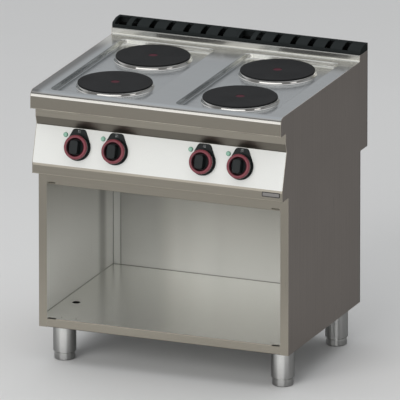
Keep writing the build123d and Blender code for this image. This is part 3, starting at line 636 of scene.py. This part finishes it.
def plate_iron_material():
    """Cast plate: turned rings, cast grain and a dark red dot in the middle."""
    iron = Finish("plate_iron", Specular_IOR_Level=0.15)
    tree = iron.tree
    axes = iron.axes()
    off_x = calc(tree, "SUBTRACT", calc(tree, "ABSOLUTE", axes["X"]), PLATE_X)
    middle_y = (FRONT_ROW_Y + REAR_ROW_Y) / 2
    off_y = calc(tree, "ABSOLUTE", calc(tree, "SUBTRACT", axes["Y"], middle_y))
    off_y = calc(tree, "SUBTRACT", off_y, (REAR_ROW_Y - FRONT_ROW_Y) / 2)
    square = calc(tree, "ADD", both(tree, off_x, off_x), both(tree, off_y, off_y))
    radius = calc(tree, "SQRT", square)
    rings = calc(tree, "SINE", both(tree, radius, 2.0 * math.pi / TURNING_PITCH))
    grain = noise(tree, iron.place, CAST_SCALE, detail=4.0)
    cloud = noise(tree, iron.place, CAST_CLOUD_SCALE, detail=4.0)
    colour = tint(tree, fade(tree, cloud, NOISE_SPREAD), *CAST_IRON)
    colour = tint(tree, fade(tree, radius, PLATE_RIM_R), colour, CAST_RIM)
    dot = fade(tree, radius, PLATE_DOT_R, smooth=True)
    iron.plug("Base Color", tint(tree, dot, colour, CAST_DOT))
    iron.plug("Roughness", remap(tree, grain, *NOISE_SPREAD, *CAST_GLOSS))
    iron.bump(calc(tree, "ADD", both(tree, rings, TURNING_SHARE), grain), CAST_DEPTH)
    return iron.material


def moulded_material(name, colour, roughness, scale=MOULD_SCALE, depth=MOULD_DEPTH, change=0.1, **constants):
    """Plastic or paint: grain in the gloss, slow change in the colour."""
    skin = Finish(name, **constants)
    tree = skin.tree
    marks = skin.marks(MOULDED_SKIN, Scale=scale)
    skin.plug("Base Color", tint(tree, marks["Wave"], shade(colour, 1 - change), shade(colour, 1 + change)))
    smoother, rougher = roughness * (1 - MOULD_GLOSS_CHANGE), roughness * (1 + MOULD_GLOSS_CHANGE)
    skin.plug("Roughness", remap(tree, marks["Grain"], *NOISE_SPREAD, smoother, rougher))
    skin.bump(marks["Grain"], depth)
    return skin.material


def red_ring_material(number):
    """Red moulding, dark down the throat round the grip."""
    ring = Finish(f"ring_red_{number}", roughness=0.3)
    tree = ring.tree
    axis = Vector(joints[f"knob_{number}_turn"]["pos_m"])
    off = vector_calc(tree, "SUBTRACT", {0: ring.place, 1: axis})
    along = vector_calc(tree, "DOT_PRODUCT", {0: off, 1: PANEL_OUT}, "Value")
    rise = vector_calc(tree, "SCALE", {0: PANEL_OUT, "Scale": along})
    flat = vector_calc(tree, "SUBTRACT", {0: off, 1: rise})
    radius = vector_calc(tree, "LENGTH", {0: flat}, "Value")
    marks = ring.marks(MOULDED_SKIN, Scale=MOULD_SCALE)
    crown = tint(tree, marks["Wave"], *RING_RED)
    throat = fade(tree, radius, RING_THROAT_R, smooth=True)
    ring.plug("Base Color", tint(tree, throat, crown, RING_THROAT))
    ring.bump(marks["Grain"], MOULD_DEPTH)
    return ring.material


def lens_material():
    """Green lamp lens with a painted highlight: paler where the dome faces straight out."""
    lens = Finish("lens_green", roughness=0.22)
    tree = lens.tree
    out = vector_calc(tree, "DOT_PRODUCT", {0: lens.normal(), 1: PANEL_OUT}, "Value")
    ripple = both(tree, noise(tree, lens.place, LENS_RIPPLE_SCALE, detail=2.0), LENS_RIPPLE_SHARE)
    # Painted highlight where the dome faces straight out
    crown = calc(tree, "ADD", fade(tree, out, STRAIGHT_OUT), ripple)
    lens.plug("Base Color", tint(tree, crown, *LENS_GREEN_AND_PAINTED_HIGHLIGHT))
    lens.bump(noise(tree, lens.place, LENS_GRAIN_SCALE, detail=1.0), LENS_DEPTH)
    return lens.material


def zinc_material(name, dark, light, painted_shade_inside=False):
    """Zinc-coated sheet with its crystal spangle; one with painted shade inside is darkened but for its
    outer face.
    """
    zinc = Finish(name, metallic=0.85)
    tree = zinc.tree
    plugs = {"Vector": zinc.place, "Scale": ZINC_FLAKES}
    spangle = put(tree, "ShaderNodeTexVoronoi", plugs).outputs["Color"]
    flake = put(tree, "ShaderNodeSeparateColor", {0: spangle}).outputs[0]
    colour = tint(tree, flake, dark, light)
    if painted_shade_inside:
        axes = zinc.axes()
        inner = both(tree, fade(tree, axes["Y"], DUCT_INSIDE_Y), fade(tree, axes["Z"], DUCT_INSIDE_Z))
        # Painted shade inside the duct
        colour = tint(tree, inner, colour, shade(dark, DUCT_PAINTED_SHADE))
    zinc.plug("Base Color", colour)
    zinc.plug("Roughness", remap(tree, flake, 0.0, 1.0, *ZINC_GLOSS))
    return zinc.material


def leg_material():
    """Turned and polished tube: marks run round it, so its gloss stretches up and down."""
    tube, colour_out = brushed_steel("leg_steel", LEG_STEEL, roughness=0.3, grain="ring", depth=0.0000008,
                                     change=0.05, Anisotropic=0.9, Anisotropic_Rotation=0.25)
    tube.plug("Base Color", colour_out)
    tube.plug("Tangent", put(tube.tree, "ShaderNodeTangent", direction_type="RADIAL", axis="Z").outputs[0])
    return tube.material


def blank_plate_material():
    """Dark raised rim round a plain satin field."""
    plate = Finish("blank_plate_finish", roughness=0.34)
    tree = plate.tree
    x, y, z = plate.axes()
    width, thickness, height = BLANK_PLATE_SIZE
    front = BLANK_PLATE_PLACE.y - thickness / 2
    field = fade(tree, y, [front + share * BLANK_PLATE_SINK for share in BLANK_PLATE_SATIN_AT])
    for along, middle, size in ((x, BLANK_PLATE_PLACE.x, width), (z, BLANK_PLATE_PLACE.z, height)):
        reach = size / 2 - BLANK_PLATE_RIM - BLANK_PLATE_SATIN_IN
        field = both(tree, field, band(tree, along, middle - reach, middle + reach, BLANK_PLATE_STEP))
    fine, broad = GRAIN["X"]
    marks = plate.marks(BRUSHED_GRAIN, Fine=fine, Broad=broad)
    satin = tint(tree, marks["Tone"], *BLANK_FIELD)
    plate.plug("Base Color", tint(tree, field, BLANK_RIM, satin))
    plate.bump(marks["Streak"], BLANK_PLATE_DEPTH)
    return plate.material


def dress(material, *starts):
    """Gives a material to every CAD node whose name begins with one of these words."""
    for name, node in nodes.items():
        if name.startswith(starts):
            node.data.materials.clear()
            node.data.materials.append(material)


LEG_FINISH = leg_material()
dress(front_sheet_material(), "front_apron", "panel_lip", "top_rail")
dress(inner_sheet_material(), "bottom_shelf", "cabinet_ceiling", "back_panel")
dress(side_sheet_material(), "side_panel")
dress(worktop_material(), "worktop")
dress(plate_iron_material(), "hot_plate")
dress(LEG_FINISH, "leg_tube")
dress(steel_material("shaft_steel", SHAFT_STEEL, roughness=0.3), "switch_shaft")
dress(zinc_material("zinc_sheet", *ZINC), "plate_clamp")
dress(zinc_material("duct_zinc", *ZINC, painted_shade_inside=True), "rear_cover")
# Painted shade on the base channels under the shelf
dress(zinc_material("zinc_sheet_in_painted_shade", *ZINC_IN_PAINTED_SHADE), "base_channel")
panel_enamel = moulded_material("panel_enamel", PANEL_WHITE, roughness=0.3, scale=700.0, depth=0.000004,
                                change=0.012)
dress(panel_enamel, "control_panel")
dress(moulded_material("bezel_black", BEZEL_BLACK, roughness=0.42, Specular_IOR_Level=0.35), "knob_bezel")
grip_black = moulded_material("grip_black", GRIP_BLACK, roughness=0.36, Specular_IOR_Level=0.35)
for number in KNOB_PLATE:
    dress(grip_black, f"knob_{number}")
    dress(red_ring_material(number), f"knob_ring_{number}")
dress(lens_material(), "pilot_lamp")
grille_enamel = moulded_material("grille_enamel", GRILLE_BLACK, roughness=0.45, Specular_IOR_Level=0.0)
dress(grille_enamel, "vent_grille")
dress(moulded_material("switch_moulding", SWITCH_GREY, roughness=0.5), "cam_switch")
dress(moulded_material("terminal_moulding", TERMINAL_CREAM, roughness=0.5), "terminal_block")
dress(moulded_material("gland_moulding", GLAND_GREY, roughness=0.45), "cable_gland")


# Modelling helpers
def clear_selection():
    """A new piece starts with nothing selected."""
    bpy.ops.object.select_all(action="DESELECT")


def pick_faces(piece, test):
    """In edit mode, leaves selected the faces whose direction passes a test."""
    bpy.ops.mesh.select_mode(type="FACE")
    bpy.ops.mesh.select_all(action="DESELECT")
    bpy.ops.object.mode_set(mode="OBJECT")
    for face in piece.data.polygons:
        face.select = test(face.normal)
    bpy.ops.object.mode_set(mode="EDIT")


def pick_edges(piece, test):
    """In edit mode, leaves selected the edges whose two ends pass a test."""
    bpy.ops.mesh.select_mode(type="EDGE")
    bpy.ops.mesh.select_all(action="DESELECT")
    bpy.ops.object.mode_set(mode="OBJECT")
    corners = piece.data.vertices
    for edge in piece.data.edges:
        first, second = (corners[number].co for number in edge.vertices)
        edge.select = test(first, second)
    bpy.ops.object.mode_set(mode="EDIT")


def draw_up(section):
    """In edit mode, extrudes the selected rim through the points of a half section, radius and height."""
    for (width, low), (radius, high) in zip(section, section[1:]):
        bpy.ops.mesh.extrude_region_move(TRANSFORM_OT_translate={"value": (0, 0, high - low)})
        ratio = radius / width
        bpy.ops.transform.resize(value=(ratio, ratio, 1.0), center_override=(0, 0, 0))


def close_up(material):
    """Merges doubles, turns faces outwards, leaves edit mode, smooths, and gives the finish."""
    bpy.ops.mesh.select_all(action="SELECT")
    bpy.ops.mesh.remove_doubles(threshold=MERGE)
    bpy.ops.mesh.normals_make_consistent(inside=False)
    bpy.ops.object.mode_set(mode="OBJECT")
    bpy.ops.object.shade_smooth_by_angle(angle=SHARP_ANGLE)
    piece = bpy.context.object
    piece.data.materials.clear()
    piece.data.materials.append(material)
    return piece


def use_modifier(piece, kind, **settings):
    """Adds a modifier and applies it at once."""
    modifier = piece.modifiers.new(kind.lower(), kind)
    for key, value in settings.items():
        setattr(modifier, key, value)
    bpy.ops.object.modifier_apply(modifier=modifier.name)


def make_active(piece):
    """Leaves one piece selected and active."""
    clear_selection()
    piece.select_set(True)
    bpy.context.view_layer.objects.active = piece


def copy_to(model, name, place, turn=(0.0, 0.0, 0.0)):
    """Copy of a model with its own mesh, set in place."""
    make_active(model)
    bpy.ops.object.duplicate()
    piece = bpy.context.object
    piece.name = name
    piece.rotation_euler = turn
    piece.location = place
    bpy.ops.object.transform_apply(location=True, rotation=True, scale=True)
    return piece


def join_up(pieces, name):
    """Joins pieces into the first, which gets the name."""
    clear_selection()
    for piece in pieces:
        piece.select_set(True)
    bpy.context.view_layer.objects.active = pieces[0]
    bpy.ops.object.join()
    pieces[0].name = name
    return pieces[0]


def throw_away(model):
    """Deletes a piece that only served to make others."""
    make_active(model)
    bpy.ops.object.delete()


def fit(piece, body):
    """Fixes a piece to a body."""
    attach(piece, body)


def make_screw_head(material):
    """Pan-head screw with a cross recess, looking up from the origin."""
    clear_selection()
    middle = (0, 0, SCREW_H / 2)
    bpy.ops.mesh.primitive_cylinder_add(vertices=SMALL_SIDES, radius=SCREW_R, depth=SCREW_H, location=middle)
    head = bpy.context.object
    bpy.ops.object.transform_apply(location=True)
    bpy.ops.object.mode_set(mode="EDIT")
    pick_faces(head, lambda out: out.z > SQUARE_ON)
    bpy.ops.mesh.bevel(offset=SCREW_ROUND, segments=ROUND_STEPS, affect="EDGES")
    bpy.ops.object.mode_set(mode="OBJECT")
    clear_selection()
    bpy.ops.mesh.primitive_cube_add(size=SCREW_RECESS_W, location=(0, 0, SCREW_H))
    cross = bpy.context.object
    bpy.ops.object.transform_apply(location=True)
    bpy.ops.object.mode_set(mode="EDIT")
    pick_faces(cross, lambda out: abs(out.z) < 1.0 - SQUARE_ON)
    bpy.ops.mesh.extrude_faces_move(TRANSFORM_OT_shrink_fatten={"value": SCREW_RECESS_REACH})
    bpy.ops.mesh.select_all(action="SELECT")
    bpy.ops.transform.resize(value=(1.0, 1.0, SCREW_RECESS_STRETCH), center_override=(0, 0, SCREW_H))
    bpy.ops.object.mode_set(mode="OBJECT")
    make_active(head)
    use_modifier(head, "BOOLEAN", object=cross, operation="DIFFERENCE")
    throw_away(cross)
    make_active(head)
    bpy.ops.object.mode_set(mode="EDIT")
    return close_up(material)


def add_back_screws(material):
    """Screws that hold the cabinet's back to the folds of the side sheets."""
    model = make_screw_head(material)
    across = (STILE_X + SIDE_X) / 2
    backwards = (-math.pi / 2, 0.0, 0.0)
    for side, label in ((-1, "left"), (1, "right")):
        for number, z in enumerate(SCREW_ROWS_Z, 1):
            place = (side * across, BACK_PANEL_Y, z)
            screw = copy_to(model, f"back_screw_{label}_{number}", place, backwards)
            fit(screw, "range_body")
    throw_away(model)


def make_sign_dot(filled, material):
    """One printed plate of the sign: a ring, or a filled dot for the plate that the knob works."""
    clear_selection()
    bpy.ops.mesh.primitive_circle_add(vertices=SMALL_SIDES, radius=SIGN_DOT_R, fill_type="NGON")
    bpy.ops.object.mode_set(mode="EDIT")
    bpy.ops.mesh.inset(thickness=SIGN_LINE)
    if not filled:
        bpy.ops.mesh.delete(type="FACE")
    bpy.ops.mesh.select_all(action="SELECT")
    bpy.ops.mesh.extrude_region_move(TRANSFORM_OT_translate={"value": (0, 0, SIGN_PROUD)})
    return close_up(material)


def add_plate_signs(material):
    """Sign of the four plates on each bezel's tab, with the knob's own plate filled."""
    ring = make_sign_dot(False, material)
    disc = make_sign_dot(True, material)
    tilt = math.atan2(PANEL_RISE.z, PANEL_RISE.y)
    for knob, chosen in KNOB_PLATE.items():
        dots = []
        for column in (0, 1):
            for row in (0, 1):
                model = disc if (column, row) == chosen else ring
                spot = ((column - 0.5) * SIGN_PITCH, (row - 0.5) * SIGN_PITCH, 0.0)
                dots.append(copy_to(model, f"sign_dot_{column}_{row}", spot))
        sign = join_up(dots, f"plate_sign_{knob}")
        axis = Vector(joints[f"knob_{knob}_turn"]["pos_m"])
        sign.location = axis + PANEL_RISE * SIGN_UP + PANEL_OUT * BEZEL_T
        sign.rotation_euler = (tilt, 0.0, 0.0)
        bpy.ops.object.transform_apply(location=True, rotation=True, scale=True)
        fit(sign, "range_body")
    throw_away(ring)
    throw_away(disc)


def add_blank_plate(material):
    """Plain plate with a raised rim near the right end of the lip."""
    clear_selection()
    bpy.ops.mesh.primitive_cube_add(size=1.0)
    plate = bpy.context.object
    plate.name = "blank_plate"
    bpy.ops.object.mode_set(mode="EDIT")
    bpy.ops.transform.resize(value=BLANK_PLATE_SIZE, center_override=(0, 0, 0))
    bpy.ops.transform.translate(value=BLANK_PLATE_PLACE)
    pick_edges(plate, lambda first, second: abs(first.y - second.y) > BLANK_PLATE_SIZE[1] / 2)
    bpy.ops.mesh.bevel(offset=BLANK_PLATE_CORNER, segments=CORNER_STEPS, affect="EDGES")
    pick_faces(plate, lambda out: out.y < -SQUARE_ON)
    bpy.ops.mesh.inset(thickness=BLANK_PLATE_RIM)
    bpy.ops.mesh.inset(thickness=BLANK_PLATE_STEP, depth=-BLANK_PLATE_SINK)
    fit(close_up(material), "range_body")


def make_spill_ring(material):
    """Drawn ring standing at the origin: flared foot, tapered skirt and a seat for the plate."""
    clear_selection()
    bpy.ops.mesh.primitive_circle_add(vertices=RING_SIDES, radius=RING_SECTION[0][0], fill_type="NOTHING")
    bpy.ops.object.mode_set(mode="EDIT")
    bpy.ops.mesh.select_mode(type="EDGE")
    bpy.ops.mesh.select_all(action="SELECT")
    draw_up(RING_SECTION)
    ring = close_up(material)
    use_modifier(ring, "SOLIDIFY", thickness=RING_SHEET, offset=-1.0)
    return ring


def add_spill_rings(material):
    """Drawn rings in place of the plain ones of the CAD."""
    model = make_spill_ring(material)
    for row in ("front", "rear"):
        for side in ("left", "right"):
            low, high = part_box(f"spill_ring_{row}_{side}")
            place = ((low.x + high.x) / 2, (low.y + high.y) / 2, low.z)
            ring = copy_to(model, f"drawn_ring_{row}_{side}", place)
            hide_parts(f"spill_ring_{row}_{side}")
            fit(ring, "range_body")
    throw_away(model)


def add_duct_seals(material):
    """Rounded rubber strip along the foot of each vent cover's back wall."""
    for side in ("left", "right"):
        low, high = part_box(f"vent_grille_{side}")
        clear_selection()
        bpy.ops.mesh.primitive_cube_add(size=1.0)
        seal = bpy.context.object
        seal.name = f"duct_seal_{side}"
        bpy.ops.object.mode_set(mode="EDIT")
        bpy.ops.transform.translate(value=(0.0, -0.5, 0.5))
        length = high.x - low.x - 2 * GRILLE_WALL
        bpy.ops.transform.resize(value=(length, SEAL_W, SEAL_H), center_override=(0, 0, 0))
        bpy.ops.transform.translate(value=((low.x + high.x) / 2, high.y - GRILLE_WALL, low.z))
        pick_edges(seal, lambda first, second: min(first.z, second.z) > low.z + SEAL_H / 2)
        bpy.ops.mesh.bevel(offset=SEAL_ROUND, segments=ROUND_STEPS, affect="EDGES")
        fit(close_up(material), "range_body")


def make_thread(material):
    """Screw thread round the foot's stem."""
    clear_selection()
    upright = (math.pi / 2, math.pi / 2, 0)
    bpy.ops.mesh.primitive_circle_add(vertices=3, radius=THREAD_TOOTH, fill_type="NOTHING", rotation=upright)
    thread = bpy.context.object
    bpy.ops.object.transform_apply(rotation=True)
    bpy.ops.object.mode_set(mode="EDIT")
    bpy.ops.transform.translate(value=(THREAD_R, 0, THREAD_START_Z))
    bpy.ops.object.mode_set(mode="OBJECT")
    use_modifier(thread, "SCREW", axis="Z", screw_offset=THREAD_PITCH, iterations=THREAD_TURNS,
                 steps=THREAD_STEPS, render_steps=THREAD_STEPS)
    bpy.ops.object.mode_set(mode="EDIT")
    bpy.ops.mesh.select_mode(type="EDGE")
    bpy.ops.mesh.select_all(action="DESELECT")
    bpy.ops.mesh.select_non_manifold()
    bpy.ops.mesh.fill()
    return close_up(material)


def make_foot(material):
    """Turned foot with a grip groove on a threaded stem, standing at the origin."""
    clear_selection()
    bpy.ops.mesh.primitive_circle_add(vertices=FOOT_SIDES, radius=FOOT_SECTION[0][0], fill_type="NGON")
    bpy.ops.object.mode_set(mode="EDIT")
    draw_up(FOOT_SECTION)
    foot = close_up(material)
    return join_up([foot, make_thread(material)], "levelling_foot_model")


def add_feet(material):
    """Threaded feet in place of the plain ones of the CAD."""
    model = make_foot(material)
    for row in ("front", "rear"):
        for side in ("left", "right"):
            low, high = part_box(f"levelling_foot_{row}_{side}")
            place = ((low.x + high.x) / 2, (low.y + high.y) / 2, low.z)
            foot = copy_to(model, f"threaded_foot_{row}_{side}", place)
            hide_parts(f"levelling_foot_{row}_{side}")
            fit(foot, f"foot_{row}_{side}")
    throw_away(model)


add_back_screws(zinc_material("screw_zinc", *SCREW_ZINC))
add_plate_signs(moulded_material("sign_print", SIGN_GREY, roughness=0.5, scale=2500.0, depth=0.000004))
add_blank_plate(blank_plate_material())
add_spill_rings(steel_material("ring_steel", SPILL_RING_STEEL, roughness=0.1, grain="ring", depth=0.000002))
add_duct_seals(moulded_material("seal_rubber", SEAL_BLACK, roughness=0.7, Specular_IOR_Level=0.2))
add_feet(LEG_FINISH)


# Studio
def aim(thing, place, target):
    """Sets a lamp or the camera in place and points it at a target."""
    thing.location = place
    thing.rotation_mode = "QUATERNION"
    thing.rotation_quaternion = (Vector(target) - Vector(place)).to_track_quat("-Z", "Y")


def direction(turn, rise):
    """Unit vector from the range towards a compass turn, 0 at the front and 90 at the right."""
    turn, rise = math.radians(turn), math.radians(rise)
    return Vector((math.sin(turn) * math.cos(rise), -math.cos(turn) * math.cos(rise), math.sin(rise)))


def add_lamp(name, kind, place, target, energy, matt, glossy, **settings):
    """Lamp that the camera doesn't see, and that lights matt surfaces, glossy ones or both."""
    lamp = bpy.data.lights.new(name, kind)
    lamp.energy = energy
    for key, value in settings.items():
        setattr(lamp, key, value)
    holder = bpy.data.objects.new(name, lamp)
    bpy.context.scene.collection.objects.link(holder)
    aim(holder, place, target)
    holder.visible_camera = False
    holder.visible_diffuse = matt
    holder.visible_glossy = glossy


def add_softbox(name, place, target, width, height, glow, matt, glossy):
    """Rectangular lamp of an even glow."""
    power = glow * width * height * math.pi
    add_lamp(name, "AREA", place, target, power, matt, glossy, shape="RECTANGLE", size=width, size_y=height)


def add_lamps():
    """Soft key from the front left, light from above, and the sheets that the steel mirrors."""
    key_place = direction(KEY_TURN, KEY_RISE) * KEY_DISTANCE
    add_lamp("key", "SUN", key_place, target=(0.0, 0.0, 0.0), energy=KEY_STRENGTH, matt=True, glossy=False,
             angle=KEY_ANGLE)
    for softbox in SOFTBOXES:
        add_softbox(**softbox)


def make_floor():
    """Pale paper; to glossy rays it shows a painted reflection, bright only close in front of the range and
    dark beside and behind it.
    """
    clear_selection()
    bpy.ops.mesh.primitive_plane_add(size=FLOOR_SIZE)
    floor = bpy.context.object
    floor.name = "studio_floor"
    paper = Finish("floor_paper", roughness=0.8)
    tree = paper.tree
    y = paper.axes()["Y"]
    pale = tint(tree, noise(tree, paper.place, FLOOR_CLOUD_SCALE, detail=2.0), *FLOOR_PALE)
    pale = tint(tree, fade(tree, y, FLOOR_FAR_Y), pale, FLOOR_FAR)
    ahead = fade(tree, y, FLOOR_AHEAD_Y)
    near = both(tree, ahead, fade(tree, y, FLOOR_NEAR_Y))
    # Painted reflection: glossy rays see the floor dark beside the range and bright just in front
    painted_reflection = tint(tree, ahead, PAINTED_REFLECTION_BESIDE, PAINTED_REFLECTION_AHEAD)
    painted_reflection = tint(tree, near, painted_reflection, PAINTED_REFLECTION_NEAR)
    mirrored = tree.nodes.new("ShaderNodeLightPath").outputs["Is Glossy Ray"]
    paper.plug("Base Color", tint(tree, mirrored, pale, painted_reflection))
    floor.data.materials.append(paper.material)


def make_world():
    """Studio air: bright overhead, dim in front and to the right, where no wall returns light."""
    world = bpy.data.worlds.new("studio_air")
    bpy.context.scene.world = world
    world.use_nodes = True
    tree = world.node_tree
    place = tree.nodes.new("ShaderNodeTexCoord").outputs["Generated"]
    x, y, z = put(tree, "ShaderNodeSeparateXYZ", {0: place}).outputs
    air = tint(tree, fade(tree, z, AIR_RISE), *AIR)
    side = calc(tree, "ADD", both(tree, x, RIGHT_SHARE_X), both(tree, y, RIGHT_SHARE_Y))
    right = fade(tree, side, RIGHT_REACH, smooth=True)
    right = both(tree, right, fade(tree, z, RIGHT_RISE, smooth=True))
    air = tint(tree, right, air, RIGHT_AIR)
    ahead = fade(tree, y, AHEAD_REACH, smooth=True)
    ahead = both(tree, ahead, fade(tree, z, AHEAD_RISE, smooth=True))
    air = tint(tree, ahead, air, AHEAD_AIR)
    tree.links.new(air, tree.nodes["Background"].inputs["Color"])


def make_camera():
    """Camera of the photo's view."""
    camera = bpy.data.objects.new("photo_camera", bpy.data.cameras.new("photo_camera"))
    bpy.context.scene.collection.objects.link(camera)
    camera.data.lens = LENS_MM
    camera.data.sensor_width = SENSOR_MM
    distance = VIEW_WIDTH * LENS_MM / SENSOR_MM
    aim(camera, VIEW_AIM + direction(VIEW_TURN, VIEW_RISE) * distance, VIEW_AIM)
    camera.data.clip_start = 1.0
    camera.data.clip_end = 2.0 * distance
    bpy.context.scene.camera = camera


bpy.context.scene.view_settings.view_transform = "Standard"
make_camera()
make_floor()
make_world()
add_lamps()
